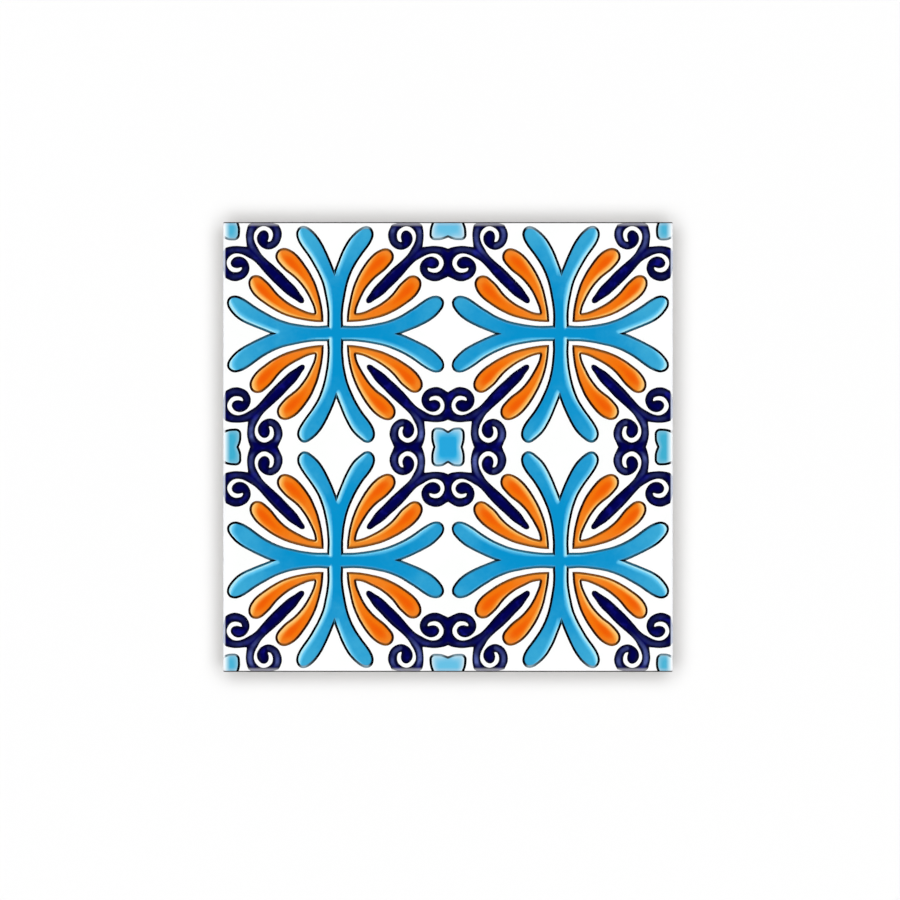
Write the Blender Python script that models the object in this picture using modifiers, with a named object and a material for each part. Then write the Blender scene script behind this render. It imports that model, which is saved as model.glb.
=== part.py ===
"""A square glazed wall tile, lying on its back with the painted face up.

Units are metres and +Z is up. The origin is the centre of the flat back, on the level floor or the
adhesive bed, and the painted face looks along +Z. The tile is fired as one piece, so it is one solid.
"""

import bpy
import bmesh

# Driving dimensions
TILE_SIDE = 0.200
TILE_THICKNESS = 0.010
FACE_EDGE_RADIUS = 0.0008
BACK_EDGE_RADIUS = 0.0005
CORNER_RADIUS = 0.0006
EDGE_SEGMENTS = 4

# White glaze, which covers most of the face
GLAZE_COLOUR = (0.93, 0.93, 0.91, 1.0)
GLAZE_ROUGHNESS = 0.12

COLLECTION_NAME = "haft_rang_tile"
SMOOTH_BELOW = 0.6  # radians between faces that shade as one round edge


def clear_scene():
    for obj in list(bpy.data.objects):
        bpy.data.objects.remove(obj, do_unlink=True)


def tile_collection():
    collection = bpy.data.collections.new(COLLECTION_NAME)
    bpy.context.scene.collection.children.link(collection)
    return collection


def glaze_material():
    material = bpy.data.materials.new("white_glaze")
    material.use_nodes = True
    shader = material.node_tree.nodes["Principled BSDF"]
    shader.inputs["Base Color"].default_value = GLAZE_COLOUR
    shader.inputs["Roughness"].default_value = GLAZE_ROUGHNESS
    shader.inputs["Metallic"].default_value = 0.0
    return material


def slab_mesh():
    """A square slab standing on z = 0, centred on the Z axis."""
    mesh = bpy.data.meshes.new("tile")
    slab = bmesh.new()
    bmesh.ops.create_cube(slab, size=1.0)
    bmesh.ops.translate(slab, vec=(0.0, 0.0, 0.5), verts=slab.verts)
    bmesh.ops.scale(slab, vec=(TILE_SIDE, TILE_SIDE, TILE_THICKNESS), verts=slab.verts)
    slab.to_mesh(mesh)
    slab.free()
    return mesh


def edge_radius(low, high):
    """The radius of a slab edge, from the heights of its two ends."""
    if low != high:
        return CORNER_RADIUS
    return FACE_EDGE_RADIUS if low > 0.0 else BACK_EDGE_RADIUS


def round_edges(obj):
    """Rounds the rim of the face, the rim of the back and the upright corners, each by its own radius."""
    mesh = obj.data
    widest = max(FACE_EDGE_RADIUS, BACK_EDGE_RADIUS, CORNER_RADIUS)
    weights = mesh.attributes.new("bevel_weight_edge", "FLOAT", "EDGE")
    for edge in mesh.edges:
        heights = sorted(mesh.vertices[index].co.z for index in edge.vertices)
        weights.data[edge.index].value = edge_radius(*heights) / widest
    bevel = obj.modifiers.new("rounded_edges", "BEVEL")
    bevel.limit_method = "WEIGHT"
    bevel.width = widest
    bevel.segments = EDGE_SEGMENTS


def build_tile(collection):
    mesh = slab_mesh()
    tile = bpy.data.objects.new("tile", mesh)
    collection.objects.link(tile)
    mesh.materials.append(glaze_material())
    mesh.shade_smooth()
    mesh.set_sharp_from_angle(angle=SMOOTH_BELOW)
    round_edges(tile)
    return tile


def main():
    clear_scene()
    build_tile(tile_collection())


main()
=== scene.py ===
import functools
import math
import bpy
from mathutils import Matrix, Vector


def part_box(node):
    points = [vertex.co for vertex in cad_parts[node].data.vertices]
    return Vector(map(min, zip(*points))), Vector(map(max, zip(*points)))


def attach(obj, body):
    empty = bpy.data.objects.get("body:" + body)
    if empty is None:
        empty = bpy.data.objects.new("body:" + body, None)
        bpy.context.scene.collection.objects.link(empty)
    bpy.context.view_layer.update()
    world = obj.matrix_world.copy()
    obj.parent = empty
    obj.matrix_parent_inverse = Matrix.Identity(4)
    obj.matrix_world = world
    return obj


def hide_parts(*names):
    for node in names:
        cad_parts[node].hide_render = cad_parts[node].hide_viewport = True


bl_info = {
    "name": "Haft Rang Tile",
    "version": (1, 0, 0),
    "blender": (4, 5, 0),
    "location": "View3D > Sidebar > Tile",
    "description": "Builds a square wall tile with outlined pools of coloured glaze, in a plain studio",
    "category": "Add Mesh",
}

import bmesh
import bpy
import numpy as np
from bpy.props import FloatProperty, FloatVectorProperty, IntProperty, PointerProperty
from bpy.types import Operator, Panel, PropertyGroup
from mathutils import Vector
from mathutils.geometry import delaunay_2d_cdt

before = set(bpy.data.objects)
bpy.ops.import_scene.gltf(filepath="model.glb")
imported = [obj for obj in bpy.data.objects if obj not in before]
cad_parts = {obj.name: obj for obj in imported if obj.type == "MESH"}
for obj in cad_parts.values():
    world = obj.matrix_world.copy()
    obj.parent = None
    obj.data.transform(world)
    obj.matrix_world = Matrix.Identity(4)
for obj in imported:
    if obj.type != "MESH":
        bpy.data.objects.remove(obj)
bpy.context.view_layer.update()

MM = 0.001
TILE_LOW, TILE_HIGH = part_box("tile")
TILE_SIDE = TILE_HIGH.x - TILE_LOW.x
TILE_TOP = TILE_HIGH.z

# The drawing, in millimetres from the middle of one motif. The motif is a square of MOTIF_SIDE, and the same
# eight times over: every path lies in the wedge between the +X axis, the diagonal and the motif's right side.
MOTIF_SIDE = 100.0
WEDGE_REACH = MOTIF_SIDE / 2.0

# Middle of the dark line round the turquoise cross: out along an arm, round its lobe and back to the notch
CROSS_LINE = (
    (3.05, 3.05), (7.1, 2.95), (11.6, 3.2), (16.0, 3.8), (20.0, 4.6), (24.0, 5.75), (28.0, 7.4), (32.0, 9.6),
    (36.0, 12.2), (40.0, 15.05), (42.6, 16.4), (44.7, 16.8), (46.6, 16.2), (47.7, 14.7), (47.6, 12.9),
    (46.4, 10.8), (44.1, 8.3), (40.2, 5.6), (36.0, 3.55), (32.0, 1.8), (29.8, 0.9), (27.5, 0.0),
)

# Middle of the dark line round one blade of the orange leaf, from its outer corner to its inner one
LEAF_LINE = (
    (5.65, 5.65), (8.0, 5.75), (12.0, 6.25), (16.0, 7.05), (20.0, 8.15), (24.0, 9.7), (28.0, 11.8),
    (32.0, 14.5), (35.2, 17.2), (37.2, 20.0), (37.95, 22.7), (37.2, 24.8), (35.4, 25.8), (33.2, 25.5),
    (31.2, 24.1), (28.6, 21.6), (26.0, 18.3), (23.6, 15.9), (20.0, 13.2), (16.0, 11.0), (12.0, 9.3),
    (10.0, 8.85), (8.95, 8.95),
)

# Edge of the cobalt scroll: up its stem, round the curled white finger, round its end and under the curl
SCROLL_LOWER_EDGE = (
    (14.05, 14.05), (14.9, 13.75), (17.0, 14.8), (20.5, 17.1), (24.1, 20.4), (27.1, 23.2), (30.5, 26.8),
    (34.1, 30.9), (36.3, 32.9), (38.3, 34.05), (40.1, 35.05), (41.9, 35.75), (43.7, 36.0), (45.5, 35.6),
    (47.0, 34.5), (47.9, 33.0), (48.1, 31.4), (47.5, 29.7), (46.1, 28.1), (44.2, 27.6), (42.6, 27.9),
    (41.4, 28.8), (41.3, 29.65), (42.4, 29.5), (44.2, 29.4), (45.5, 30.0), (46.25, 31.2), (46.2, 32.3),
    (45.5, 33.5), (44.2, 34.4), (42.6, 34.7), (40.9, 34.3), (39.3, 33.2), (38.1, 31.4), (37.7, 29.4),
    (38.2, 27.3), (39.7, 25.3), (41.9, 24.1), (44.2, 23.6), (46.3, 23.9), (48.2, 24.8), (50.0, 25.7),
)

# Edge of the cobalt scroll above the curl, from the fork of the stem
SCROLL_UPPER_EDGE = (
    (39.05, 39.05), (40.8, 39.2), (42.7, 39.4), (44.5, 39.45), (46.3, 39.25), (48.1, 38.85), (50.0, 38.1),
)

# Middle of the dark line round a quarter of the small star in the motif's corner
STAR_LINE = (
    (50.0, 43.6), (49.0, 43.2), (47.8, 42.75), (46.4, 42.5), (45.0, 42.45), (43.85, 42.55), (43.05, 43.05),
)

# Where the brush left a paler streak in the cobalt
BRUSH_STROKE = (
    (15.5, 15.2), (20.0, 18.8), (28.0, 26.2), (35.0, 33.6), (40.0, 37.2), (44.5, 37.7), (48.2, 36.4),
    (49.6, 33.0), (49.5, 29.0), (47.6, 26.3), (44.4, 25.5), (41.0, 26.6), (39.4, 29.2),
)

# Where the middle of the scroll meets the motif's side, and how deep and how strongly it is rounded there
SCROLL_END = 35.1
SCROLL_END_DEPTH = 1.3
SCROLL_END_SQUEEZE = 0.36

# Directions in which a path leaves or meets a border of the wedge
ALONG_X = (1.0, 0.0)
OFF_DIAGONAL = (1.0, -1.0)
ONTO_DIAGONAL = (-1.0, 1.0)

# How finely paths are drawn, in millimetres and radians, and the straight run-in before one
FINE_STEP = 0.08
LONGEST_EDGE = 0.5
SHARPEST_TURN = 0.22
RUN_IN = 4.0

# The step between points on the wedge's borders, and how far inside the motif's border the drawing may stray
BORDER_STEP = 0.8
BORDER_STRIP = 3.0

# Points nearer to each other than this are one point
WELD = 0.01

# Points between the outlines: from and to which distance from a line they lie, and how far apart
ROW_SPACINGS = ((0.30, 0.75, 0.42), (0.75, 1.8, 0.62), (1.8, 3.4, 0.95), (3.4, 30.0, 1.5))

# Rows of points across the tile's rim, as shares of its radius, and the step along a row
RIM_ROWS = (0.0, 0.26, 0.5, 0.71, 0.87, 0.97)
RIM_STEP = 0.55

LINE = "black_line"

# Edges that turn by more than this are shaded as edges
GLAZE_CREASE = math.radians(55.0)
CLAY_CREASE = math.radians(40.0)

# A level face in the studio looks this much brighter than its own colour
FACE_LIGHT = 1.22


def surface_colour(*screen):
    """The linear colour of a face that shows as this screen colour, 0 to 255, in the studio."""
    shares = (value / 255.0 for value in screen)
    shown = (share / 12.92 if share < 0.0405 else ((share + 0.055) / 1.055) ** 2.4 for share in shares)
    return tuple(min(value / FACE_LIGHT, 1.0) for value in shown)


def smooth_path(knots, start=None, end=None):
    """Close points on an evenly bending curve through the knots; start and end are directions there."""
    knots = np.array(knots)
    steps = np.diff(knots, axis=0)
    gaps = np.linalg.norm(steps, axis=1)
    count = len(knots)
    rows = np.zeros((count, count))
    wanted = np.zeros((count, 2))
    for i in range(1, count - 1):
        before, after = gaps[i - 1], gaps[i]
        rows[i, i - 1:i + 2] = after, 2.0 * (before + after), before
        wanted[i] = 3.0 * (after / before * steps[i - 1] + before / after * steps[i])
    for i, neighbour, direction, gap in ((0, 1, start, gaps[0]), (-1, -2, end, gaps[-1])):
        if direction is None:
            rows[i, i], rows[i, neighbour] = 2.0, 1.0
            wanted[i] = 3.0 * (knots[neighbour] - knots[i]) / gap * (1.0 if i == 0 else -1.0)
        else:
            rows[i, i] = 1.0
            wanted[i] = np.array(direction) / np.linalg.norm(direction)
    tangents = np.linalg.solve(rows, wanted)
    pieces = []
    for i, gap in enumerate(gaps):
        t = np.linspace(0.0, 1.0, max(2, int(gap / FINE_STEP)), endpoint=False)[:, None]
        pieces.append(
            (2 * t**3 - 3 * t**2 + 1) * knots[i] + (t**3 - 2 * t**2 + t) * gap * tangents[i]
            + (3 * t**2 - 2 * t**3) * knots[i + 1] + (t**3 - t**2) * gap * tangents[i + 1]
        )
    return np.vstack(pieces + [knots[-1:]])


def nearest_distance(points, others):
    """How far each point lies from the nearest of the others."""
    best = np.full(len(points), np.inf)
    for chunk in np.array_split(others, max(1, len(others) // 200)):
        best = np.minimum(best, np.linalg.norm(points[:, None] - chunk[None], axis=2).min(axis=1))
    return best


def beside(path, distance):
    """The path moved sideways, to its left if the distance is positive, without the loops of tight bends."""
    along = np.gradient(path, axis=0)
    along /= np.linalg.norm(along, axis=1)[:, None]
    moved = path + distance * np.column_stack((-along[:, 1], along[:, 0]))
    return moved[nearest_distance(moved, path) > abs(distance) - 0.5 * FINE_STEP**2]


def inside_by(points, border):
    """How far inside a border of the wedge the points lie."""
    if border == "diagonal":
        return points[:, 0] - points[:, 1]
    return points[:, 1] if border == "axis" else WEDGE_REACH - points[:, 0]


def onto(point, border):
    """The point put exactly on a border of the wedge."""
    if border == "diagonal":
        return np.full(2, point.mean())
    return np.array((point[0], 0.0)) if border == "axis" else np.array((WEDGE_REACH, point[1]))


def cut_start(path, border):
    """The path from where it comes in over a border, with a straight run-in where it starts short of it."""
    heading = path[0] - path[2]
    heading /= np.linalg.norm(heading)
    steps = np.arange(RUN_IN, 0.0, -FINE_STEP)[:, None]
    path = np.vstack((path[0] + heading * steps, path))
    depth = inside_by(path, border)
    last_out = np.nonzero(depth[:2 * len(steps)] <= 0.0)[0][-1]
    share = depth[last_out] / (depth[last_out] - depth[last_out + 1])
    crossing = path[last_out] + share * (path[last_out + 1] - path[last_out])
    kept = path[last_out + 1:]
    kept = kept[np.linalg.norm(kept - crossing, axis=1).cumsum() > FINE_STEP]
    return np.vstack((onto(crossing, border), kept))


def cut(path, start_border, end_border):
    return cut_start(cut_start(path, start_border)[::-1], end_border)[::-1]


def thinned(path):
    """The few points that still draw the path: LONGEST_EDGE apart, and closer where it bends."""
    kept = [0]
    run, turn = 0.0, 0.0
    for i in range(1, len(path) - 1):
        before, after = path[i] - path[i - 1], path[i + 1] - path[i]
        run += np.linalg.norm(before)
        turn += abs(math.atan2(before[0] * after[1] - before[1] * after[0], before @ after))
        if run >= LONGEST_EDGE or (turn >= SHARPEST_TURN and run > 2.0 * FINE_STEP):
            kept.append(i)
            run, turn = 0.0, 0.0
    if np.linalg.norm(path[kept[-1]] - path[-1]) < 0.4 * LONGEST_EDGE and len(kept) > 1:
        kept.pop()
    return path[kept + [len(path) - 1]]


def wedge_outlines(line_width):
    """The edges of every dark line in the wedge, each from border to border, as white side and glaze side."""
    half = line_width / 2.0
    cross = smooth_path(CROSS_LINE, start=ALONG_X)
    leaf = smooth_path(LEAF_LINE, start=ALONG_X, end=ONTO_DIAGONAL)
    lower = smooth_path(SCROLL_LOWER_EDGE, start=OFF_DIAGONAL)
    upper = smooth_path(SCROLL_UPPER_EDGE, start=ALONG_X)
    star = smooth_path(STAR_LINE, end=ONTO_DIAGONAL)
    plan = {
        "cross": (cross, half, -half, "diagonal", "axis"),
        "leaf": (leaf, -half, half, "diagonal", "diagonal"),
        "lower": (lower, 0.0, line_width, "diagonal", "side"),
        "upper": (upper, 0.0, -line_width, "diagonal", "side"),
        "star": (star, half, -half, "side", "diagonal"),
    }
    outlines = {}
    for name, (path, to_white, to_glaze, start, end) in plan.items():
        for side, distance in (("white", to_white), ("glaze", to_glaze)):
            moved = beside(path, distance) if distance else path
            outlines[name, side] = thinned(cut(moved, start, end))
    return outlines


def areas(outlines, side):
    """The closed areas inside one side of the dark lines: the finish of each, and its corners."""
    origin, corner = np.zeros((1, 2)), np.full((1, 2), WEDGE_REACH)
    scroll = np.vstack((outlines["lower", side], outlines["upper", side][::-1]))
    return (
        ("turquoise_glaze", np.vstack((outlines["cross", side], origin))),
        ("orange_glaze", outlines["leaf", side]),
        ("cobalt_glaze", scroll),
        ("turquoise_glaze", np.vstack((outlines["star", side], corner))),
    )


def within(points, polygon):
    """Whether each point lies inside the polygon, by counting the sides to its right."""
    x, y = points[:, 0], points[:, 1]
    inside = np.zeros(len(points), bool)
    for a, b in zip(polygon, np.roll(polygon, -1, axis=0)):
        if a[1] != b[1]:
            spans = (a[1] > y) != (b[1] > y)
            inside ^= spans & (x < (b[0] - a[0]) * (y - a[1]) / (b[1] - a[1]) + a[0])
    return inside


def finish_of(points, outlines):
    """The finish under each point: a glaze inside the dark lines, a line, or the white round them."""
    found = np.full(len(points), "white_glaze", dtype=object)
    for side in ("white", "glaze"):
        for name, polygon in areas(outlines, side):
            found[within(points, polygon)] = LINE if side == "white" else name
    return found


def border_points(outlines):
    """Points along the three borders of the wedge, through every end of an outline."""
    ends = np.array([outline[i] for outline in outlines.values() for i in (0, -1)])
    corners = np.array(((0.0, 0.0), (WEDGE_REACH, 0.0), (WEDGE_REACH, WEDGE_REACH)))
    borders = []
    for a, b in ((0, 1), (1, 2), (2, 0)):
        along = corners[b] - corners[a]
        length = np.linalg.norm(along)
        along /= length
        off = ends - corners[a]
        on_border = np.abs(off[:, 0] * along[1] - off[:, 1] * along[0]) < 1e-9
        stops = sorted({0.0, length, *np.round(off[on_border] @ along, 9)})
        places = []
        for start, stop in zip(stops, stops[1:]):
            count = max(1, round((stop - start) / BORDER_STEP))
            places.extend(np.linspace(start, stop, count, endpoint=False))
        borders.append(corners[a] + along * np.array(places)[:, None])
    return np.vstack(borders)


def inner_points(outlines, rim_radius):
    """Points between the outlines, further apart where no line is near, and the rows that the rim needs.

    They keep clear of the lines and the borders, which have points of their own.
    """
    lines = np.vstack([np.vstack((path, (path[1:] + path[:-1]) / 2.0)) for path in outlines.values()])
    rows = []
    for nearest, furthest, spacing in ROW_SPACINGS:
        across = np.arange(0.0, WEDGE_REACH, spacing)
        up = np.arange(0.0, WEDGE_REACH, spacing * math.sqrt(0.75))
        grid = np.array([(x + (j % 2) * spacing / 2.0, y) for j, y in enumerate(up) for x in across])
        clear = (inside_by(grid, "diagonal") > 0.6 * spacing) & (inside_by(grid, "axis") > 0.4 * spacing)
        grid = grid[clear & (inside_by(grid, "side") > rim_radius + 0.3 * spacing)]
        distance = nearest_distance(grid, lines)
        rows.append(grid[(distance >= nearest) & (distance < furthest)])
    for row in RIM_ROWS:
        x = WEDGE_REACH - rim_radius * (1.0 - row)
        column = np.array([(x, y) for y in np.arange(0.4, x - 0.4, RIM_STEP)])
        rows.append(column[nearest_distance(column, lines) > 0.2])
    return np.vstack(rows)


def triangulated(points, outlines):
    """Triangles over the wedge that keep every outline as edges: corner places and corner numbers."""
    places = [tuple(p) for p in points]
    edges = []
    for outline in outlines.values():
        start = len(places)
        places.extend(tuple(p) for p in outline)
        edges.extend((start + i, start + i + 1) for i in range(len(outline) - 1))
    corners, _, faces, *_ = delaunay_2d_cdt([Vector(p) for p in places], edges, [], 0, 1e-5)
    return np.array([tuple(c) for c in corners]), np.array([tuple(f) for f in faces])


@functools.cache
def wedge(line_width, rim_radius):
    """The wedge in triangles, fine for the glaze's surface and coarse for its underside, and line values."""
    outlines = wedge_outlines(line_width)
    border = border_points(outlines)
    layers = []
    for points in (np.vstack((border, inner_points(outlines, rim_radius))), border):
        corners, faces = triangulated(points, outlines)
        middles = corners[faces].mean(axis=1)
        layers.append((corners, faces, finish_of(middles, outlines)))
    return *layers, line_values(layers[0][0], outlines)


def outline_edges(faces, corners):
    """The edges that bound the faces, in the order of their faces, without those on a border of the wedge."""
    pairs = np.vstack((faces[:, (0, 1)], faces[:, (1, 2)], faces[:, (2, 0)]))
    _, first, counts = np.unique(np.sort(pairs, axis=1), axis=0, return_index=True, return_counts=True)
    lone = pairs[first[counts == 1]]
    on_border = np.zeros(len(lone), bool)
    for border in ("diagonal", "axis", "side"):
        depth = np.abs(inside_by(corners, border)) < 1e-4
        on_border |= depth[lone].all(axis=1)
    return lone[~on_border]


def pool_depth(corners, faces, rim, reach):
    """The depth of a liquid held to its rim, as a share of its depth far from it, solved over the faces."""
    used, numbers = np.unique(faces, return_inverse=True)
    numbers = numbers.reshape(-1, 3)
    places = corners[used]
    a, b, c = (places[numbers[:, i]] for i in range(3))
    doubled = np.abs((b - a)[:, 0] * (c - a)[:, 1] - (b - a)[:, 1] * (c - a)[:, 0])
    sums = np.zeros((len(used), len(used)))
    supply = np.zeros(len(used))
    for i in range(3):
        tip, left, right = (numbers[:, (i + k) % 3] for k in range(3))
        pull = ((places[left] - places[tip]) * (places[right] - places[tip])).sum(axis=1) / doubled / 2.0
        for near, far in ((left, right), (right, left)):
            np.add.at(sums, (near, near), pull)
            np.add.at(sums, (near, far), -pull)
        np.add.at(supply, tip, doubled / 6.0 / reach**2)
    sums[np.diag_indices(len(used))] += supply
    held = np.nonzero(np.isin(used, rim))[0]
    sums[held] = 0.0
    sums[held, held] = 1.0
    supply[held] = 0.0
    depth = np.zeros(len(corners))
    depth[used] = np.linalg.solve(sums, supply)
    return depth


def line_values(points, outlines):
    """The warmth of the dark line nearest to each point, and how far across it the point lies.

    Warmth is 1 round the orange, -1 round the cobalt and 0 elsewhere. Across runs from 0 at the white to 1.
    """
    warmth = {"cross": 0.0, "star": 0.0, "leaf": 1.0, "lower": -1.0, "upper": -1.0}

    def dense(path):
        at = np.linspace(0.0, len(path) - 1.0, 8 * len(path) - 7)
        return np.column_stack([np.interp(at, np.arange(len(path)), path[:, k]) for k in (0, 1)])

    to_white, to_glaze = (
        np.array([nearest_distance(points, dense(outlines[name, side])) for name in warmth])
        for side in ("white", "glaze")
    )
    nearest = np.argmin(to_white + to_glaze, axis=0), np.arange(len(points))
    across = to_white[nearest] / (to_white[nearest] + to_glaze[nearest])
    return np.array(list(warmth.values()))[nearest[0]], across


def wedge_mesh(finish, sizes):
    """One wedge of a finish as a thin closed shell, open only where the next wedge joins on."""
    (top, top_faces, top_finish), (base, base_faces, base_finish), (warmth, across) = wedge(
        round(sizes.line_width / MM, 4), round(sizes.rim_radius / MM, 4)
    )
    top_faces, base_faces = top_faces[top_finish == finish], base_faces[base_finish == finish]
    rim_edges = outline_edges(top_faces, top)
    rim = np.unique(rim_edges)
    if finish == LINE:
        swell, reach, dome = sizes.line_swell, sizes.line_reach, across
    else:
        swell, reach = sizes.glaze_swell, sizes.glaze_reach
        dome = pool_depth(top, top_faces, rim, sizes.shade_reach / MM)
    depth = pool_depth(top, top_faces, rim, reach / MM)
    off_stroke = nearest_distance(top, smooth_path(BRUSH_STROKE)) / sizes.stroke_width * MM
    values = {"depth": depth, "dome": dome, "warmth": warmth, "streak": np.exp(-(off_stroke**2))}

    shell = bmesh.new()
    layers = {name: shell.verts.layers.float.new(name) for name in values}
    below_layer = shell.verts.layers.float.new("below")
    top_verts, base_verts, at_place = {}, {}, {}
    for i in np.unique(top_faces):
        height = sizes.rim_level + swell * depth[i]
        vert = shell.verts.new((top[i][0] * MM, top[i][1] * MM, height))
        for name, layer in layers.items():
            vert[layer] = values[name][i]
        top_verts[i] = vert
    for i in np.unique(base_faces):
        vert = shell.verts.new((base[i][0] * MM, base[i][1] * MM, sizes.bed_level))
        vert[below_layer] = 1.0
        base_verts[i] = vert
        at_place[tuple(np.round(base[i], 4))] = vert
    for a, b, c in top_faces:
        shell.faces.new((top_verts[a], top_verts[b], top_verts[c]))
    for a, b, c in base_faces:
        shell.faces.new((base_verts[c], base_verts[b], base_verts[a]))
    for a, b in rim_edges:
        under_a, under_b = (at_place[tuple(np.round(top[i], 4))] for i in (a, b))
        shell.faces.new((top_verts[b], top_verts[a], under_a, under_b))
    mesh = bpy.data.meshes.new(finish)
    shell.to_mesh(mesh)
    shell.free()
    return mesh


def sum_method(operation, turned=False):
    """The method behind one of Python's signs; turned where the value stands after the sign."""

    def method(self, other):
        return self.nodes.math(operation, *((other, self) if turned else (self, other)))

    return method


class Value:
    """A node's output that takes part in Python sums: each sum adds the Math node that works it out."""

    __add__ = __radd__ = sum_method("ADD")
    __mul__ = __rmul__ = sum_method("MULTIPLY")
    __sub__, __rsub__ = sum_method("SUBTRACT"), sum_method("SUBTRACT", turned=True)
    __truediv__, __rtruediv__ = sum_method("DIVIDE"), sum_method("DIVIDE", turned=True)

    def __init__(self, nodes, socket):
        self.nodes = nodes
        self.socket = socket

    def __neg__(self):
        return self * -1.0

    def __abs__(self):
        return self.math("ABSOLUTE")

    def math(self, operation, *others):
        return self.nodes.math(operation, self, *others)

    def kept_within(self, limit):
        return self.math("MAXIMUM", -limit).math("MINIMUM", limit)

    def above(self, low, high):
        """0 below low, 1 above high, and a smooth step between them."""
        return self.nodes.add(
            "ShaderNodeMapRange", {"interpolation_type": "SMOOTHSTEP"}, {"Value": self, 1: low, 2: high}
        )

    def clamped(self):
        return self.nodes.add("ShaderNodeClamp", {}, {"Value": self})


class Nodes:
    """A node tree being filled: one method adds any node, and the rest are the few that are used most."""

    def __init__(self, tree):
        self.tree = tree

    def plug(self, socket, value):
        if isinstance(value, Value):
            self.tree.links.new(value.socket, socket)
        elif socket.type == "RGBA" and len(value) == 3:
            socket.default_value = (*value, 1.0)
        else:
            socket.default_value = value

    def add(self, kind, settings=None, inputs=None, out=0):
        """A node with its settings, then its inputs, by number or name, and the output that is wanted."""
        node = self.tree.nodes.new(kind)
        for name, setting in (settings or {}).items():
            setattr(node, name, setting)
        for key, value in (inputs or {}).items():
            self.plug(node.inputs[key], value)
        return Value(self, node.outputs[out])

    def math(self, operation, *values):
        return self.add("ShaderNodeMath", {"operation": operation}, dict(enumerate(values)))

    def vector_math(self, operation, *vectors, out=0):
        return self.add("ShaderNodeVectorMath", {"operation": operation}, dict(enumerate(vectors)), out)

    def hypot(self, x, y):
        return self.vector_math("LENGTH", self.combine(x, y), out=1)

    def scaled(self, vector, factor):
        return self.add("ShaderNodeVectorMath", {"operation": "SCALE"}, {0: vector, "Scale": factor})

    def combine(self, x=0.0, y=0.0, z=0.0):
        return self.add("ShaderNodeCombineXYZ", {}, {0: x, 1: y, 2: z})

    def parts(self, vector):
        return tuple(self.add("ShaderNodeSeparateXYZ", {}, {0: vector}, out) for out in range(3))

    def mix(self, factor, a, b):
        """Two colours blended by a factor."""
        return self.add("ShaderNodeMix", {"data_type": "RGBA"}, {0: factor, 6: a, 7: b}, 2)

    def blend(self, factor, a, b):
        """Two places blended by a factor."""
        return self.add("ShaderNodeMix", {"data_type": "VECTOR"}, {0: factor, 4: a, 5: b}, 1)

    def noise(self, vector, size, detail=2.0, roughness=0.5):
        """Cloudy noise from 0 to 1 whose blotches are about size metres across."""
        inputs = {"Vector": vector, "Scale": 1.0 / size, "Detail": detail, "Roughness": roughness}
        return self.add("ShaderNodeTexNoise", {}, inputs)

    def stored(self, name, kind="FLOAT"):
        """An attribute that the geometry holds."""
        return self.add("GeometryNodeInputNamedAttribute", {"data_type": kind}, {"Name": name})

    def store(self, geometry, name, value, kind="FLOAT", domain="POINT"):
        return self.add(
            "GeometryNodeStoreNamedAttribute", {"data_type": kind, "domain": domain},
            {"Geometry": geometry, "Name": name, "Value": value},
        )

    def moved(self, geometry, **inputs):
        """The geometry with its points, or a Selection of them, put at a Position or shifted by an Offset."""
        return self.add("GeometryNodeSetPosition", {}, {"Geometry": geometry, **inputs})


# How the hand that drew the motif strayed, in millimetres: where, how far across and up, and over what reach
NUDGES = (
    (0.0, 0.0, -0.15, 0.5, 16.0), (-16.0, -16.0, 0.1, 0.2, 14.0), (14.0, -14.0, -0.1, 0.2, 14.0),
    (8.0, 34.0, -0.55, -0.15, 15.0), (-30.0, 30.0, -0.7, 0.15, 16.0), (34.0, 34.0, -0.45, -0.1, 14.0),
    (30.0, -32.0, 0.55, 0.45, 20.0), (-26.0, -34.0, 0.2, 0.45, 20.0), (28.0, 0.0, 0.2, 0.15, 8.0),
    (-34.0, -9.0, 1.0, 0.9, 6.0), (-8.0, -34.0, 0.6, 0.6, 6.0), (8.0, -34.0, 0.2, -0.5, 5.0),
    (34.0, -8.0, 0.0, 0.2, 6.0), (-34.0, 8.0, -0.7, 0.5, 6.0), (34.0, 8.0, -0.3, -0.1, 5.0),
    (-28.0, 0.0, -0.1, 0.3, 8.0), (0.0, -28.0, 0.15, 0.2, 8.0), (-22.0, 34.0, 0.4, -0.1, 8.0),
    (0.0, 44.0, -0.3, -0.15, 14.0), (0.0, -44.0, 0.25, 0.2, 14.0), (-44.0, -15.0, 0.0, 0.3, 7.0),
    (44.0, -15.0, 0.1, 0.3, 7.0), (44.5, -43.0, 0.5, 0.5, 5.0), (-43.5, 43.5, -0.4, -0.2, 5.0),
)


def mirrored(nodes, geometry, scale, turn=0.0):
    """The geometry and its mirror image, with the image's faces turned right side out."""
    image = nodes.add(
        "GeometryNodeTransform", {}, {"Geometry": geometry, "Scale": scale, "Rotation": (0.0, 0.0, turn)}
    )
    image = nodes.add("GeometryNodeFlipFaces", {}, {0: image})
    both = nodes.add("GeometryNodeJoinGeometry")
    for part in (geometry, image):
        nodes.tree.links.new(part.socket, both.socket.node.inputs[0])
    return both


def merged(nodes, geometry):
    return nodes.add("GeometryNodeMergeByDistance", {}, {"Geometry": geometry, "Distance": WELD * MM})


def rounded_end(along, inwards):
    """Draws the scroll's two edges together where it meets the side of the tile, so that it ends round."""
    off = abs(along)
    on_scroll = off.above(18.0 * MM, 24.0 * MM) * (1.0 - off.above(39.0 * MM, 43.0 * MM))
    pull = SCROLL_END_SQUEEZE * (SCROLL_END * MM - off) * along.math("SIGN")
    return pull * on_scroll * (1.0 - inwards.above(0.0, SCROLL_END_DEPTH * MM))


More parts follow.
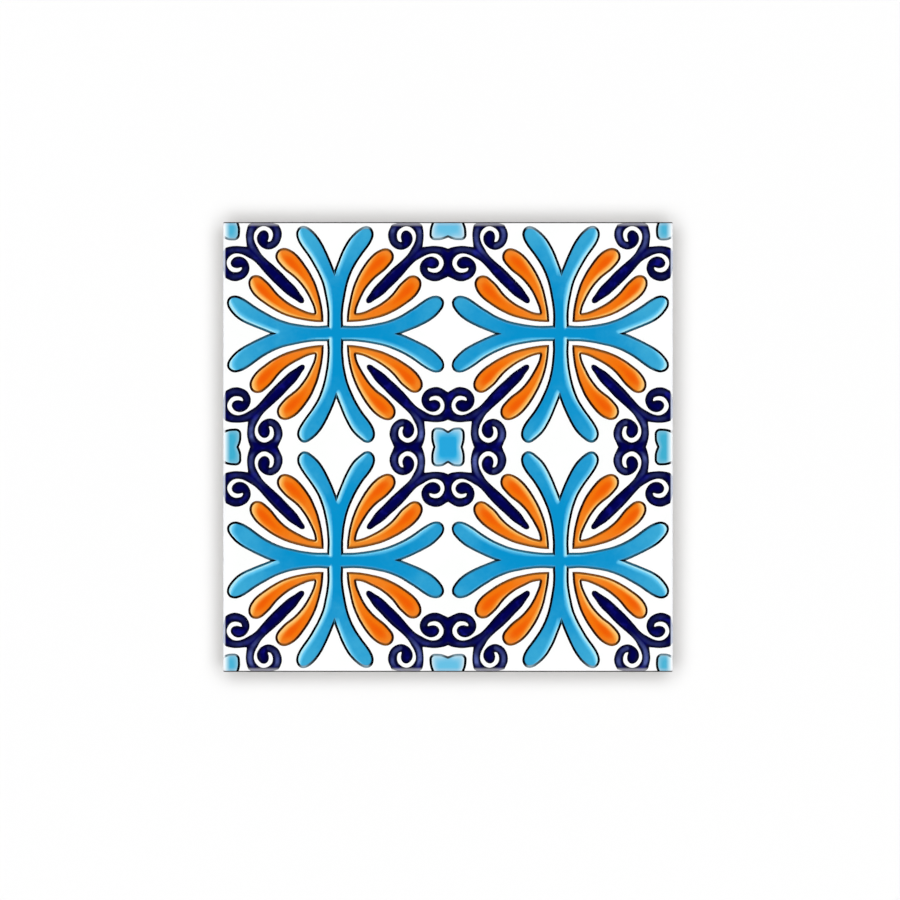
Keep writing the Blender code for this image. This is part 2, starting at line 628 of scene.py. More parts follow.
def strayed(nodes, geometry, given):
    """Moves the drawing a little, as a hand would, but nothing across the motif's own border."""
    x, y, _ = nodes.parts(nodes.add("GeometryNodeInputPosition"))
    at = nodes.combine(x, y, given["Seed"])
    wobble = {"Vector": at, "Scale": 1.0 / given["Wobble Size"], "Detail": 1.0}
    shifts = []
    for start in (0.0, 40.0):
        noise = nodes.add("ShaderNodeTexNoise", {"noise_dimensions": "4D"}, {"W": start, **wobble})
        shifts.append((noise - 0.5) * given["Wobble"])
    for at_x, at_y, by_x, by_y, spread in NUDGES:
        away = nodes.vector_math("DISTANCE", nodes.combine(x, y), (at_x * MM, at_y * MM, 0.0), out=1)
        pull = (-(away / (spread * MM)).math("POWER", 2.0)).math("EXPONENT")
        shifts = [shift + pull * (by * MM) for shift, by in zip(shifts, (by_x, by_y))]
    reach = WEDGE_REACH * MM
    ends = (rounded_end(x, reach - y), rounded_end(y, reach + x))
    holds = [(reach - abs(v)).above(0.0, BORDER_STRIP * MM) for v in (x, y)]
    offset = nodes.combine(*((shift + end) * hold for shift, end, hold in zip(shifts, ends, holds)))
    return nodes.moved(geometry, Offset=offset)


def extruded(nodes, geometry, edges, offset, scale):
    """The geometry with a strip of faces drawn out of the edges, and the edges at the strip's far side."""
    inputs = {"Mesh": geometry, "Selection": edges, "Offset": offset, "Offset Scale": scale}
    strip = nodes.add("GeometryNodeExtrudeMesh", {"mode": "EDGES"}, inputs)
    return strip, Value(nodes, strip.socket.node.outputs["Top"])


def top_rim(nodes, over, below):
    """Which edges are the loose ones of the surface at the tile's rim."""

    def compared(kind, operation, inputs):
        return nodes.add("FunctionNodeCompare", {"data_type": kind, "operation": operation}, inputs)

    lone = compared("INT", "EQUAL", {2: nodes.add("GeometryNodeInputMeshEdgeNeighbors"), 3: 1})
    at_rim = compared("FLOAT", "GREATER_THAN", {0: over, 1: 0.999})
    on_top = compared("FLOAT", "LESS_THAN", {0: below, 1: 0.01})
    chosen = nodes.add("FunctionNodeBooleanMath", {"operation": "AND"}, {0: lone, 1: at_rim})
    return nodes.add("FunctionNodeBooleanMath", {"operation": "AND"}, {0: chosen, 1: on_top})


def rolled(nodes, geometry, given):
    """Bends the outermost glaze down over the tile's rim, and closes it behind a lip down the side."""
    half, rim_radius = given["Motif Side"], given["Rim Radius"]
    place = nodes.add("GeometryNodeInputPosition")
    x, y, z = nodes.parts(place)
    over_x, over_y = ((abs(v) - (half - rim_radius)).math("MAXIMUM", 0.0) for v in (x, y))
    over = nodes.hypot(over_x, over_y) / rim_radius
    shrink = 1.0 / over.math("MAXIMUM", 1.0)
    pulled = [v.math("SIGN") * ((abs(v) - past) + past * shrink) for v, past in ((x, over_x), (y, over_y))]
    across = over.math("MINIMUM", 1.0)
    drop = rim_radius * (1.0 - (1.0 - across * across).math("MAXIMUM", 0.0).math("SQRT"))
    below = nodes.stored("below")
    behind_glaze = half - given["Side Glaze"]
    base_place = nodes.combine(*(v.kept_within(behind_glaze) for v in pulled), z)
    placed = nodes.blend(below, nodes.combine(*pulled, z - drop), base_place)
    marked = nodes.store(geometry, "rim", top_rim(nodes, over, below), "BOOLEAN", "EDGE")
    down = nodes.combine(z=-given["Lip"] * (0.35 + 1.3 * nodes.noise(place, 9.0 * MM, 3.0)))
    bent, rim = nodes.moved(marked, Position=placed), nodes.stored("rim", "BOOLEAN")
    skirt, edges = extruded(nodes, bent, rim, down, 1.0)
    for is_last in (False, True):
        skirt, edges = extruded(nodes, skirt, edges, (0.0, 0.0, 1.0), 0.0)
        x, y, z = nodes.parts(nodes.add("GeometryNodeInputPosition"))
        level = given["Bed Level"] if is_last else z
        goal = nodes.combine(x.kept_within(behind_glaze), y.kept_within(behind_glaze), level)
        skirt = nodes.moved(skirt, Selection=edges, Position=goal)
    return merged(nodes, skirt)


def tree_values(sizes, material):
    """What the motif's tree is given, by the names of its inputs."""
    return {
        "Motif Side": sizes.side / 2.0, "Wobble": sizes.wobble, "Wobble Size": sizes.wobble_size,
        "Seed": float(sizes.seed), "Rim Radius": sizes.rim_radius, "Side Glaze": sizes.side_glaze,
        "Lip": sizes.lip, "Bed Level": sizes.bed_level, "Material": material,
    }


def repeat_tree(names):
    """Geometry Nodes that turn one wedge into the face: eight wedges a motif, and four mirrored motifs."""
    tree = bpy.data.node_groups.new("repeated_motif", "GeometryNodeTree")
    tree.interface.new_socket("Geometry", in_out="INPUT", socket_type="NodeSocketGeometry")
    for name in names:
        kind = "NodeSocketMaterial" if name == "Material" else "NodeSocketFloat"
        tree.interface.new_socket(name, in_out="INPUT", socket_type=kind)
    tree.interface.new_socket("Geometry", in_out="OUTPUT", socket_type="NodeSocketGeometry")
    nodes = Nodes(tree)
    source = tree.nodes.new("NodeGroupInput")
    given = {name: Value(nodes, source.outputs[name]) for name in ("Geometry", *names)}
    quarter_turn = math.pi / 2.0

    pair = mirrored(nodes, given["Geometry"], (1.0, -1.0, 1.0), quarter_turn)
    centres = nodes.add("GeometryNodePoints", {}, {"Count": 4})
    index = nodes.add("GeometryNodeInputIndex")
    turned = nodes.add(
        "GeometryNodeInstanceOnPoints", {},
        {"Points": centres, "Instance": pair, "Rotation": nodes.combine(z=index * quarter_turn)},
    )
    motif = merged(nodes, nodes.add("GeometryNodeRealizeInstances", {}, {0: turned}))
    motif = strayed(nodes, motif, given)

    # The tilt of the domed glaze is kept with the motif, which is then let down again
    raised = nodes.combine(z=nodes.stored("dome") * MM)
    domed = nodes.moved(motif, Offset=raised)
    tilt_x, tilt_y, _ = nodes.parts(nodes.add("GeometryNodeInputNormal"))
    level_run = abs(tilt_y) / (abs(tilt_x) + abs(tilt_y)).math("MAXIMUM", 0.001)
    # How far each slope of the domed glaze faces the lower left: the glaze colours paint a highlight on such
    # slopes and shade on those turned away
    domed = nodes.store(domed, "outward", -tilt_x - 0.35 * tilt_y)
    domed = nodes.store(domed, "level_run", level_run)
    settled = nodes.moved(domed, Offset=nodes.scaled(raised, -1.0))
    half = given["Motif Side"] / 2.0
    quarter = nodes.add(
        "GeometryNodeTransform", {}, {"Geometry": settled, "Translation": nodes.combine(-half, half)}
    )
    face = mirrored(nodes, mirrored(nodes, quarter, (-1.0, 1.0, 1.0)), (1.0, -1.0, 1.0))
    face = rolled(nodes, merged(nodes, face), given)
    face = nodes.add("GeometryNodeSetShadeSmooth", {}, {"Geometry": face})
    face = nodes.add("GeometryNodeRealizeInstances", {}, {0: face})
    face = nodes.add("GeometryNodeSetMaterial", {}, {"Geometry": face, "Material": given["Material"]})
    sink = tree.nodes.new("NodeGroupOutput")
    tree.links.new(face.socket, sink.inputs[0])
    return tree


def new_object(name, data):
    made = bpy.data.objects.new(name, data)
    bpy.context.scene.collection.objects.link(made)
    return made


def plain_mesh(obj, name):
    """A new object at the origin that holds what obj's modifiers make, and nothing else."""
    made = bpy.data.meshes.new_from_object(obj.evaluated_get(bpy.context.evaluated_depsgraph_get()))
    made.name = name
    bpy.data.objects.remove(obj, do_unlink=True)
    return new_object(name, made)


def close_holes(mesh):
    """Fills the narrow end faces where an outline runs over the tile's rim."""
    shell = bmesh.new()
    shell.from_mesh(mesh)
    bmesh.ops.holes_fill(shell, edges=[e for e in shell.edges if e.is_boundary], sides=6)
    shell.to_mesh(mesh)
    shell.free()


def repeated(finish, sizes, material):
    """A finish over the whole face, as a plain closed mesh."""
    seed = new_object(finish + "_wedge", wedge_mesh(finish, sizes))
    modifier = seed.modifiers.new("repeated_motif", "NODES")
    values = tree_values(sizes, material)
    modifier.node_group = bpy.data.node_groups.get("repeated_motif") or repeat_tree(values)
    for item in modifier.node_group.interface.items_tree:
        if item.in_out == "INPUT" and item.name in values:
            modifier[item.identifier] = values[item.name]
    piece = plain_mesh(seed, finish)
    close_holes(piece.data)
    piece.data.set_sharp_from_angle(angle=GLAZE_CREASE)
    return piece


def new_material(name, specular):
    """A material, its nodes, its Principled shader's inputs, and each point's place on the object."""
    material = bpy.data.materials.new(name)
    material.use_nodes = True
    nodes = Nodes(material.node_tree)
    inputs = material.node_tree.nodes["Principled BSDF"].inputs
    inputs["Specular IOR Level"].default_value = specular
    return material, nodes, inputs, nodes.add("ShaderNodeTexCoord", out=3)


def attribute(nodes, name):
    return nodes.add("ShaderNodeAttribute", {"attribute_name": name}, out=2)


def bumped(nodes, height, distance):
    """A surface direction tilted by a height field, which runs from 0 to 1 over a distance in metres."""
    return nodes.add("ShaderNodeBump", {}, {"Height": height, "Distance": distance, "Strength": 1.0})


def at_rim(nodes, colour, place, colours, pale, reach, mist):
    """The colour as it is at the tile's rim: thin down the left and right, misty along the other two, and
    with a painted shadow line on their very edge.

    At the foot of the lip it is so thin that the clay shows through.
    """
    x, y, z = nodes.parts(place)
    half = TILE_SIDE / 2.0
    on_rim = z.above(TILE_TOP - 1.3 * MM, TILE_TOP - 0.9 * MM)
    at_foot = 1.0 - z.above(TILE_TOP - 1.1 * MM, TILE_TOP - 0.6 * MM)
    colour = nodes.mix(0.9 * abs(x).above(half - reach * MM, half - 0.5 * MM), colour, pale)
    colour = nodes.mix(0.8 * at_foot, colour, colours.biscuit)
    colour = nodes.mix(mist * abs(y).above(half - 2.2 * MM, half - 0.8 * MM), colour, colours.rim_mist)
    # Painted shade: a near-black line on the very edge of the top and bottom rims
    return nodes.mix(on_rim * abs(y).above(half - 0.66 * MM, half - 0.38 * MM), colour, colours.rim_painted_shade)


def pooled_colour(nodes, place, colours, name, thinness, exposed=1.0):
    """A coloured glaze: deep where it pooled, with a painted highlight on the edges that slope towards the
    lower left and painted shade on those turned away.
    """
    deep, middle, thin, rim, far_rim = (
        getattr(colours, name + tone) for tone in ("_deep", "", "_thin", "_rim", "_far_rim")
    )
    depth, outward = attribute(nodes, "depth"), attribute(nodes, "outward")
    drift, fine = (nodes.noise(place, size * MM, 3.0, 0.6) for size in (14.0, 1.6))
    uneven = 0.9 * (drift - 0.5) + 0.22 * (fine - 0.5)
    colour = nodes.mix((thinness + uneven).above(0.0, 1.0), deep, middle)
    x, _, _ = nodes.parts(place)
    # Painted highlight: paler where the glaze slopes towards the lower left, more so towards the tile's left
    # and right sides
    painted_highlight = outward * exposed * (0.75 + 0.5 * drift) * (0.6 + 0.55 * (abs(x) / (MOTIF_SIDE * MM)))
    colour = nodes.mix(painted_highlight.above(0.06, 0.3), colour, thin)
    colour = nodes.mix(painted_highlight.above(0.26, 0.5), colour, rim)
    # Painted shade: darker along the field's edges turned away from the lower left, where the glaze also
    # pooled against its line
    return nodes.mix(0.7 * (1.0 - depth.above(0.0, 0.5)) * (1.0 - outward.above(0.0, 0.1)), colour, far_rim)


def off_middle(nodes, place):
    """How far across and up a point lies from the middle of the nearest motif."""
    x, y, _ = nodes.parts(place)
    return tuple(abs(abs(v) - WEDGE_REACH * MM) for v in (x, y))


def white_colour(nodes, place, colours):
    """White, faintly clouded."""
    return nodes.mix(nodes.noise(place, 22.0 * MM, 3.0).above(0.35, 0.7), colours.white, colours.white_shade)


def star_colour(nodes, place, colours):
    """Turquoise on the small stars, paler towards their rims and where the tile's sides cut them."""
    x, y, _ = nodes.parts(place)
    reach = WEDGE_REACH * MM
    at_side, at_level = (abs(v).above(0.5 * reach, reach) for v in (x, y))
    star = nodes.mix(at_side, colours.star, colours.star_side)
    star = nodes.mix(at_level * (1.0 - 0.75 * at_side), star, colours.star_level)
    shallow = 1.0 - attribute(nodes, "dome")
    off_notch = 0.2 + 0.8 * abs(x).above(0.5 * MM, 4.0 * MM)
    thin = shallow.above(0.1, 0.3) * (1.0 - at_side) * (1.0 - at_level) * off_notch
    star = nodes.mix(thin, star, colours.star_thin)
    near_rim = (1.35 * shallow - 0.22 - 0.15 * at_side).clamped() * (1.0 - 0.6 * at_side)
    near_rim = near_rim * (1.0 - 0.35 * attribute(nodes, "level_run")) * off_notch
    star = nodes.mix(near_rim, star, colours.star_rim)
    return nodes.mix(abs(x).above(2.0 * reach - 3.4 * MM, 2.0 * reach - 0.4 * MM), star, colours.star_wash)


def turquoise_colour(nodes, place, colours):
    """Turquoise, deepest in the middle of each motif and thinnest towards the tile's corners."""
    x, y, _ = nodes.parts(place)
    across, up = off_middle(nodes, place)
    reach = WEDGE_REACH * MM
    outwards = (abs(x) + abs(y)) / (2.0 * reach) - 1.0
    thinness = -0.2 + 0.85 * (nodes.hypot(across, up) / reach) + 0.35 * outwards
    # Less painted highlight at the notches of the arms' forks
    exposed = 0.3 + 0.7 * across.math("MINIMUM", up).above(0.2 * MM, 1.8 * MM)
    colour = pooled_colour(nodes, place, colours, "turquoise", thinness, exposed)
    in_star = (across + up).above(1.68 * reach, 1.72 * reach)
    return nodes.mix(in_star, colour, star_colour(nodes, place, colours))


def orange_colour(nodes, place, colours):
    """Orange, deepest in the broad part of each blade and thinner towards both of its ends."""
    distance = nodes.hypot(*off_middle(nodes, place)) / (WEDGE_REACH * MM)
    thinness = (1.8 * (0.65 - distance)).math("MAXIMUM", 5.0 * (distance - 0.76))
    colour = pooled_colour(nodes, place, colours, "orange", thinness)
    return nodes.mix(0.85 * attribute(nodes, "dome").above(0.56, 0.92), colour, colours.orange_core)


def streaks(nodes, place):
    """How far the brush dragged the cobalt thin: most on the strokes up and down beside the stars."""
    across, up = off_middle(nodes, place)
    half = WEDGE_REACH * MM
    upright = (up - across).above(-2.0 * MM, 6.0 * MM)
    outer = nodes.hypot(across, up).above(0.85 * half, 1.15 * half)
    outer = outer * (half - across.math("MAXIMUM", up)).above(1.5 * MM, 4.5 * MM)
    hairs, patches = nodes.noise(place, 1.0 * MM, 3.0), nodes.noise(place, 7.0 * MM).above(0.35, 0.65)
    drag = (0.4 + 0.8 * hairs) * (0.4 + 0.9 * patches) * outer * (0.14 + 0.7 * upright)
    return (attribute(nodes, "streak").above(0.15, 0.95) * drag).clamped()


def cobalt_colour(nodes, place, colours):
    """Cobalt, darker beside its lines, a little cloudy and with the streaks of the brush."""
    colour = nodes.mix(attribute(nodes, "depth").above(0.0, 0.7), colours.cobalt_edge, colours.cobalt)
    colour = nodes.mix(nodes.noise(place, 5.0 * MM, 3.0).above(0.5, 0.8), colour, colours.cobalt_light)
    return nodes.mix(streaks(nodes, place), colour, colours.cobalt_streak)


# For each glaze: what colours it, its colour where it ran thin down the left and right rims, over how many
# millimetres it did so, its mist along the other two rims, and its shine
GLAZES = {
    "white_glaze": (white_colour, "rim_pale", 1.5, 0.0, 0.3),
    "turquoise_glaze": (turquoise_colour, "rim_pale", 1.5, 0.25, 0.3),
    "orange_glaze": (orange_colour, "rim_pale", 1.5, 0.25, 0.3),
    "cobalt_glaze": (cobalt_colour, "cobalt_rim", 1.3, 0.45, 0.1),
}


def glaze_material(finish, colours):
    """A glaze with its own colour: almost smooth, with the faint ripple of fired glaze."""
    colour_of, pale, reach, mist, shine = GLAZES[finish]
    material, nodes, inputs, place = new_material(finish, shine)
    colour = colour_of(nodes, place, colours)
    colour = at_rim(nodes, colour, place, colours, getattr(colours, pale), reach, mist)
    nodes.plug(inputs["Base Color"], colour)
    nodes.plug(inputs["Normal"], bumped(nodes, nodes.noise(place, 2.2 * MM), 0.012 * MM))
    nodes.plug(inputs["Roughness"], 0.07 + 0.06 * nodes.noise(place, 11.0 * MM, 3.0))
    inputs["IOR"].default_value = 1.5
    return material


def line_material(colours):
    """The dark line, which the glazes beside it bled into where it runs level."""
    material, nodes, inputs, place = new_material(LINE, 0.02)
    warmth, across, level_run = (attribute(nodes, name) for name in ("warmth", "dome", "level_run"))
    grain = nodes.noise(place, 0.7 * MM, 3.0)
    warm, cold = warmth.above(0.0, 1.0), (-warmth).above(0.0, 1.0)
    colour = nodes.mix(warm, colours.line, colours.line_warm)
    colour = nodes.mix(0.4 * grain.above(0.5, 0.8), colour, colours.line_grain)
    x, y, _ = nodes.parts(place)
    half = TILE_SIDE / 2.0
    at_side, at_level = (abs(v).above(half - 10.0 * MM, half - 7.0 * MM) for v in (x, y))
    bled = nodes.mix(warm, colours.line_turquoise_bleed, colours.line_orange_bleed)
    in_middle = 1.0 - nodes.hypot(x, y).above(14.0 * MM, 18.0 * MM)
    faint = at_level.math("MAXIMUM", 0.6 * in_middle)
    bled = nodes.mix(faint, bled, colours.line_faint)
    bleed = level_run.above(0.4, 0.85) * (0.25 + 0.45 * across + 0.35 * faint)
    bleed = bleed * (1.0 - at_side * (1.0 - at_level)) * (0.25 + 0.75 * abs(x).above(0.5 * MM, 3.5 * MM))
    colour = nodes.mix(bleed.clamped(), colour, bled)
    blue = nodes.mix(across.above(0.2, 0.9), colours.line_blue, colours.cobalt_edge)
    blue = nodes.mix(streaks(nodes, place), blue, colours.cobalt_streak)
    colour = nodes.mix(cold, colour, blue)
    pale = nodes.mix(cold, colours.rim_pale, colours.cobalt_rim)
    nodes.plug(inputs["Base Color"], at_rim(nodes, colour, place, colours, pale, 1.3, 0.45 * cold))
    nodes.plug(inputs["Roughness"], 0.42 + 0.2 * grain)
    nodes.plug(inputs["Normal"], bumped(nodes, grain, 0.02 * MM))
    return material


def biscuit_material(colours):
    """Fired clay: rough, grainy and gritty."""
    material, nodes, inputs, place = new_material("biscuit", 0.15)
    cloud = nodes.noise(place, 30.0 * MM, 4.0, 0.6)
    grain = nodes.noise(place, 0.9 * MM, 4.0, 0.7)
    grit = nodes.add("ShaderNodeTexVoronoi", {}, {"Vector": place, "Scale": 420.0})
    colour = nodes.mix(cloud.above(0.3, 0.7), colours.biscuit, colours.biscuit_shade)
    colour = nodes.mix(0.5 * grain.above(0.5, 0.75), colour, colours.biscuit_grit)
    colour = nodes.mix(0.7 * (1.0 - grit.above(0.05, 0.16)), colour, colours.biscuit_grit)
    nodes.plug(inputs["Base Color"], colour)
    nodes.plug(inputs["Normal"], bumped(nodes, grain, 0.12 * MM))
    inputs["Roughness"].default_value = 0.85
    return material


def add_piece(piece, slot, *replaced):
    """Attaches a finished piece to the root body, and hides the parts of model.glb that it replaces."""
    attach(piece, "root")
    if replaced:
        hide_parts(*replaced)


# How finely the clay slab is divided, so that its sides and back can be uneven
SLAB_GRID = {"Vertices X": 121, "Vertices Y": 121, "Vertices Z": 9}


def body_tree(sizes, material):
    """Geometry Nodes for the clay slab: flat on top, with an eased rim round its back and uneven faces."""
    tree = bpy.data.node_groups.new("clay_slab", "GeometryNodeTree")
    tree.interface.new_socket("Geometry", in_out="OUTPUT", socket_type="NodeSocketGeometry")
    nodes = Nodes(tree)
    half, easing = sizes.side / 2.0 - sizes.side_glaze, sizes.back_radius
    size = (2.0 * half, 2.0 * half, sizes.bed_level)
    slab = nodes.add("GeometryNodeMeshCube", {}, {"Size": size, **SLAB_GRID})
    slab = nodes.moved(slab, Offset=(0.0, 0.0, sizes.bed_level / 2.0))

    # The rim is eased by keeping each outer point at one distance from the slab's core
    place = nodes.add("GeometryNodeInputPosition")
    x, y, z = nodes.parts(place)
    core = nodes.combine(*(v.kept_within(half - easing) for v in (x, y)), z.math("MAXIMUM", easing))
    away = nodes.vector_math("NORMALIZE", nodes.vector_math("SUBTRACT", place, core))
    eased = nodes.vector_math("ADD", core, nodes.scaled(away, easing))
    is_outer = nodes.vector_math("DISTANCE", place, core, out=1).above(0.0, 0.5 * easing)
    slab = nodes.moved(slab, Position=nodes.blend(is_outer, place, eased))

    # The back and the sides have shallow dips, and the bed under the glaze has none
    dips = (nodes.noise(place, 16.0 * MM, 3.0) - 0.4).math("MAXIMUM", 0.0)
    dips = dips + 0.35 * (nodes.noise(place, 3.5 * MM) - 0.45).math("MAXIMUM", 0.0)
    under_glaze = z.above(sizes.bed_level - 1.2 * MM, sizes.bed_level - 0.6 * MM)
    depth = dips * (1.0 - under_glaze) * -sizes.unevenness
    slab = nodes.moved(slab, Offset=nodes.scaled(nodes.add("GeometryNodeInputNormal"), depth))
    slab = nodes.add("GeometryNodeRealizeInstances", {}, {0: slab})
    slab = nodes.add("GeometryNodeSetMaterial", {}, {"Geometry": slab, "Material": material})
    sink = tree.nodes.new("NodeGroupOutput")
    tree.links.new(slab.socket, sink.inputs[0])
    return tree


def clay_body(sizes, material):
    """The clay slab, without the empty material slot that its cube came with."""
    seed = new_object("clay_seed", bpy.data.meshes.new("clay_seed"))
    seed.modifiers.new("clay_slab", "NODES").node_group = body_tree(sizes, material)
    body = plain_mesh(seed, "tile_body")
    if body.data.materials[0] is None:
        body.data.materials.pop(index=0)
    body.data.shade_smooth()
    body.data.set_sharp_from_angle(angle=CLAY_CREASE)
    return body


def length(name, description, default):
    return FloatProperty(name=name, description=description, default=default, unit="LENGTH", precision=5)


def linear_colour(name, description, default):
    return FloatVectorProperty(
        name=name, description=description, default=default, subtype="COLOR", min=0.0, max=1.0
    )


def colour(name, description, *screen):
    return linear_colour(name, description, surface_colour(*screen))


def strength(name, description, default):
    return FloatProperty(name=name, description="Strength of the " + description, default=default)


class TileSizes(PropertyGroup):
    side: length("Side", "Length of each side of the tile", TILE_SIDE)
    thickness: length("Thickness", "From the back to the top of the glaze", TILE_TOP)
    line_width: length("Line width", "Width of the dark lines", 1.05 * MM)
    bed_level: length("Bed level", "Height of the clay face that the glaze lies on", TILE_TOP - 0.50 * MM)
    rim_level: length("Rim level", "Height at which a glaze field meets its line", TILE_TOP - 0.21 * MM)
    glaze_swell: length("Glaze swell", "How far a glaze field rises over its rim", 0.21 * MM)
    glaze_reach: length("Glaze reach", "Distance over which a glaze field rises from its rim", 0.8 * MM)
    shade_reach: length("Shade reach", "Distance over which a glaze reaches its full colour", 1.3 * MM)
    line_swell: length("Line swell", "How far a dark line rises over its edges", 0.05 * MM)
    line_reach: length("Line reach", "Distance over which a dark line rises", 0.30 * MM)
    rim_radius: length("Rim radius", "Radius of the glaze as it turns over the tile's rim", 0.60 * MM)
    side_glaze: length("Side glaze", "Thickness of the glaze that ran down the sides", 0.30 * MM)
    lip: length("Lip", "How far the glaze ran down the sides", 1.0 * MM)
    back_radius: length("Back radius", "Radius of the clay round the tile's back", 0.50 * MM)
    unevenness: length("Unevenness", "Depth of the dips in the clay's back and sides", 0.16 * MM)
    wobble: length("Wobble", "How unsteady the drawn lines are", 0.5 * MM)
    wobble_size: length("Wobble size", "Length of one waver of a drawn line", 9.0 * MM)
    stroke_width: length("Stroke width", "Half width of the pale brush streaks in the cobalt", 1.0 * MM)
    seed: IntProperty(name="Seed", description="Picks the waver of the lines", default=3)


class TileColours(PropertyGroup):
    white: colour("White", "White glaze", 255, 255, 255)
    white_shade: colour("White shade", "Where it clouds", 253, 254, 253)
    turquoise: colour("Turquoise", "Turquoise glaze where it is thinner", 64, 173, 216)
    turquoise_deep: colour("Turquoise, deep", "Where it pooled", 6, 146, 205)
    # The turquoise lit side and highlight rim tones are painted highlight on slopes facing the lower left,
    # and its shaded rim tone is painted shade on those turned away
    turquoise_thin: colour("Turquoise, thin", "Where it ran thin", 94, 198, 240)
    turquoise_rim: colour("Turquoise rim", "Where it is thinnest", 168, 230, 247)
    turquoise_far_rim: colour("Turquoise far rim", "At the rim it pooled against", 48, 140, 188)
    star: colour("Star", "The star in the middle", 38, 166, 221)
    star_side: colour("Side star", "The stars at the left and right", 65, 175, 209)
    star_level: colour("Level star", "The stars at the top and bottom", 104, 193, 229)
    star_thin: colour("Star, thin", "Near the rims of the middle star", 55, 184, 230)
    star_rim: colour("Star rim", "Along the rims of the stars", 206, 232, 243)
    star_wash: colour("Star wash", "Where the outer stars end at the tile's left and right", 226, 249, 255)
    orange: colour("Orange", "Orange glaze where it is thinner", 241, 145, 48)
    orange_deep: colour("Orange, deep", "Where it pooled", 243, 117, 10)
    orange_core: colour("Orange core", "In the middle of each blade", 240, 85, 2)
    # The orange lit side and highlight rim tones are painted highlight on slopes facing the lower left, and
    # its shaded rim tone is painted shade on those turned away
    orange_thin: colour("Orange, thin", "Where it ran thin", 248, 164, 64)
    orange_rim: colour("Orange rim", "Where it is thinnest", 253, 196, 114)
    orange_far_rim: colour("Orange far rim", "At the rim it pooled against", 202, 106, 20)
    cobalt: colour("Cobalt", "Cobalt glaze where it pooled", 2, 3, 80)
    cobalt_edge: colour("Cobalt edge", "Beside its line", 0, 0, 48)
    cobalt_light: colour("Cobalt, light", "Where it is less thick", 20, 20, 130)
    cobalt_streak: colour("Cobalt streak", "Where the brush dragged it thin", 92, 106, 178)
    cobalt_rim: colour("Cobalt rim", "Where it ran thin over the left and right rims", 218, 226, 246)
    line: colour("Line", "Dark line", 0, 3, 8)
    line_warm: colour("Warm line", "Where orange bled into it", 44, 16, 2)
    line_blue: colour("Blue line", "Where cobalt bled into it", 2, 2, 24)
    line_grain: colour("Line grain", "Grains in the dark line", 14, 16, 28)
    line_turquoise_bleed: colour("Line, turquoise bleed", "Under a wash of turquoise", 62, 140, 172)
    line_orange_bleed: colour("Line, orange bleed", "Under a wash of orange", 176, 108, 40)
    line_faint: colour("Faint line", "Where it is worn thin round the stars", 138, 166, 178)
    rim_pale: colour("Pale rim", "Glaze that ran thin over the left and right rims", 250, 252, 255)
    rim_mist: colour("Misty rim", "Cobalt and turquoise along the other two rims", 215, 215, 222)
    # Painted shade along the very edge of the top and bottom rims
    rim_painted_shade: colour("Painted shade rim", "On the very edge of those two rims", 4, 5, 8)
    biscuit: colour("Biscuit", "Fired clay", 142, 130, 115)
    biscuit_shade: colour("Biscuit shade", "Where it is darker", 128, 116, 101)
    biscuit_grit: colour("Biscuit grit", "Grit in it", 98, 86, 73)


class StudioSettings(PropertyGroup):
    view_width: length("View width", "Width that the picture shows at the tile's face", 0.4)
    centre_right: length("Centre right", "How far right of the tile's middle the picture's is", 0.89 * MM)
    centre_up: length("Centre up", "How far above the tile's middle the picture's is", -1.34 * MM)
    lens: FloatProperty(name="Lens", description="Focal length", default=100.0, unit="CAMERA")
    sensor: FloatProperty(name="Sensor", description="Sensor width", default=36.0, unit="CAMERA")
    floor_side: length("Floor side", "Side of the square floor", 6.0)
    ring_light: strength("Ring light", "high ring of soft light", 3.0)
    horizon_light: strength("Horizon light", "light at the horizon", 0.5)
    fill_light: strength("Fill light", "light from everywhere but the top", 0.1)
    overhead_light: strength("Overhead light", "light from everywhere, with the top", 0.03)
    floor: linear_colour("Floor", "Studio floor", (0.79, 0.79, 0.79))


class TILE_OT_body(Operator):
    """Make the clay body of the tile"""

    bl_idname = "tile.body"
    bl_label = "Clay Body"

    def execute(self, context):
        scene = context.scene
        add_piece(clay_body(scene.tile_sizes, biscuit_material(scene.tile_colours)), "biscuit", "tile")
        return {"FINISHED"}


class TILE_OT_glaze_fields(Operator):
    """Make the white, turquoise, orange and cobalt glaze fields"""

    bl_idname = "tile.glaze_fields"
    bl_label = "Glaze Fields"

    def execute(self, context):
        sizes, colours = context.scene.tile_sizes, context.scene.tile_colours
        for finish in GLAZES:
            add_piece(repeated(finish, sizes, glaze_material(finish, colours)), finish)
        return {"FINISHED"}


class TILE_OT_lines(Operator):
    """Make the dark lines that keep the glazes apart"""

    bl_idname = "tile.lines"
    bl_label = "Dark Lines"

    def execute(self, context):
        scene = context.scene
        add_piece(repeated(LINE, scene.tile_sizes, line_material(scene.tile_colours)), LINE)
        return {"FINISHED"}


def studio_floor(studio):
    mesh = bpy.data.meshes.new("studio_floor")
    plane = bmesh.new()
    bmesh.ops.create_grid(plane, x_segments=1, y_segments=1, size=studio.floor_side / 2.0)
    plane.to_mesh(mesh)
    plane.free()
    material, nodes, inputs, place = new_material("studio_floor", 0.0)
    tint = nodes.mix(0.02 * nodes.noise(place, 0.4), studio.floor, (1.0, 1.0, 1.0))
    nodes.plug(inputs["Base Color"], tint)
    inputs["Roughness"].default_value = 0.9
    mesh.materials.append(material)
    new_object("studio_floor", mesh)


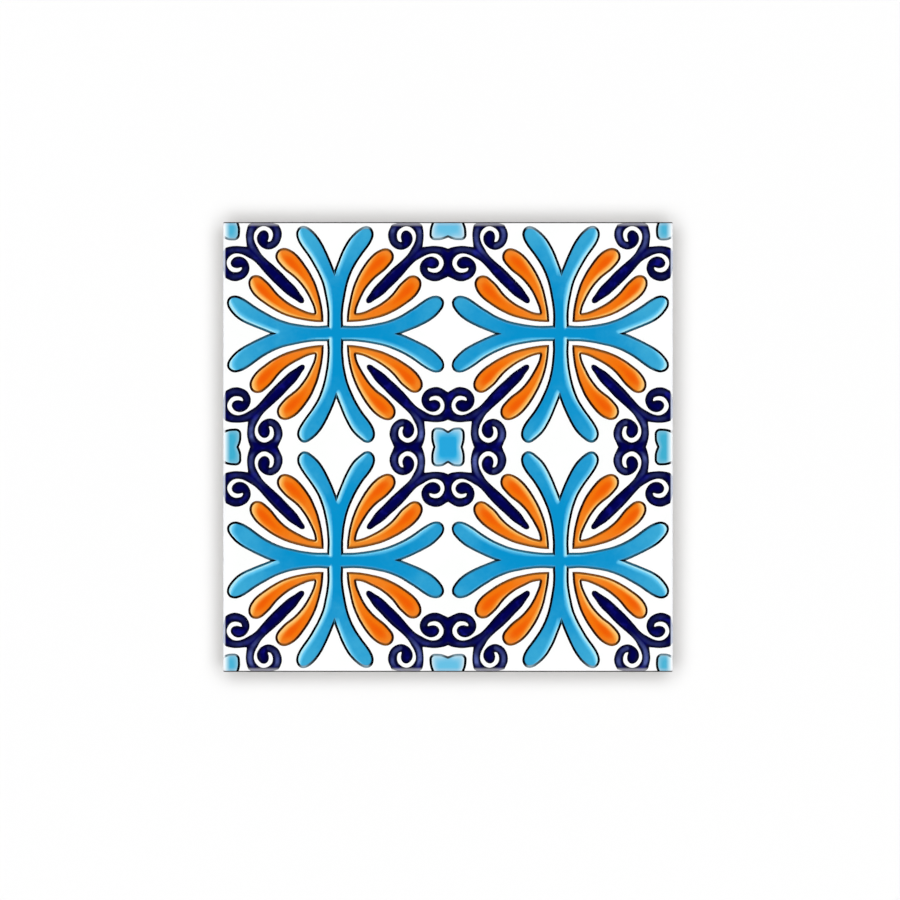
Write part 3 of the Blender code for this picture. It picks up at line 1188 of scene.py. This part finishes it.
def studio_light(studio):
    """Soft light from all round at middling height, and little from straight above, where it would glare."""
    world = bpy.data.worlds.new("studio_light")
    world.use_nodes = True
    nodes = Nodes(world.node_tree)
    background = world.node_tree.nodes["Background"]
    _, _, up = nodes.parts(nodes.add("ShaderNodeTexCoord"))
    off_top = 1.0 - up.above(0.86, 0.96)
    light = studio.ring_light * (up.above(0.62, 0.72) * off_top)
    light = light + studio.horizon_light * (1.0 - up.above(0.04, 0.2))
    light = light + studio.fill_light * off_top + studio.overhead_light
    nodes.plug(background.inputs["Strength"], light)
    background.inputs["Color"].default_value = (1.0, 1.0, 1.0, 1.0)
    bpy.context.scene.world = world


def studio_camera(studio, top):
    """Looks straight down, from as far as the lens needs to show the wanted width at the tile's face."""
    camera = bpy.data.cameras.new("camera")
    camera.lens = studio.lens
    camera.sensor_width = studio.sensor
    rig = new_object("camera", camera)
    distance = studio.view_width * studio.lens / studio.sensor
    rig.location = (studio.centre_right, studio.centre_up, top + distance)
    bpy.context.scene.camera = rig


class TILE_OT_stage(Operator):
    """Make the studio floor, the light and the camera"""

    bl_idname = "tile.stage"
    bl_label = "Studio"

    def execute(self, context):
        scene = context.scene
        studio_floor(scene.tile_studio)
        studio_light(scene.tile_studio)
        studio_camera(scene.tile_studio, scene.tile_sizes.thickness)
        scene.view_settings.view_transform = "Standard"
        return {"FINISHED"}


class TILE_PT_panel(Panel):
    """Lists the tile's sizes, colours and pieces"""

    bl_idname = "TILE_PT_panel"
    bl_label = "Haft Rang Tile"
    bl_space_type = "VIEW_3D"
    bl_region_type = "UI"
    bl_category = "Tile"

    def draw(self, context):
        scene = context.scene
        for operator in OPERATORS:
            self.layout.operator(operator.bl_idname)
        for group in (scene.tile_sizes, scene.tile_colours, scene.tile_studio):
            box = self.layout.box()
            for name in group.__annotations__:
                box.prop(group, name)


GROUPS = {"tile_sizes": TileSizes, "tile_colours": TileColours, "tile_studio": StudioSettings}
OPERATORS = (TILE_OT_stage, TILE_OT_body, TILE_OT_glaze_fields, TILE_OT_lines)


def register():
    for cls in (*GROUPS.values(), *OPERATORS, TILE_PT_panel):
        bpy.utils.register_class(cls)
    for name, group in GROUPS.items():
        setattr(bpy.types.Scene, name, PointerProperty(type=group))


def unregister():
    for name in GROUPS:
        delattr(bpy.types.Scene, name)
    for cls in (TILE_PT_panel, *reversed(OPERATORS), *reversed(GROUPS.values())):
        bpy.utils.unregister_class(cls)


def main():
    register()
    bpy.ops.tile.stage()
    bpy.ops.tile.body()
    bpy.ops.tile.glaze_fields()
    bpy.ops.tile.lines()


if __name__ == "__main__":
    main()
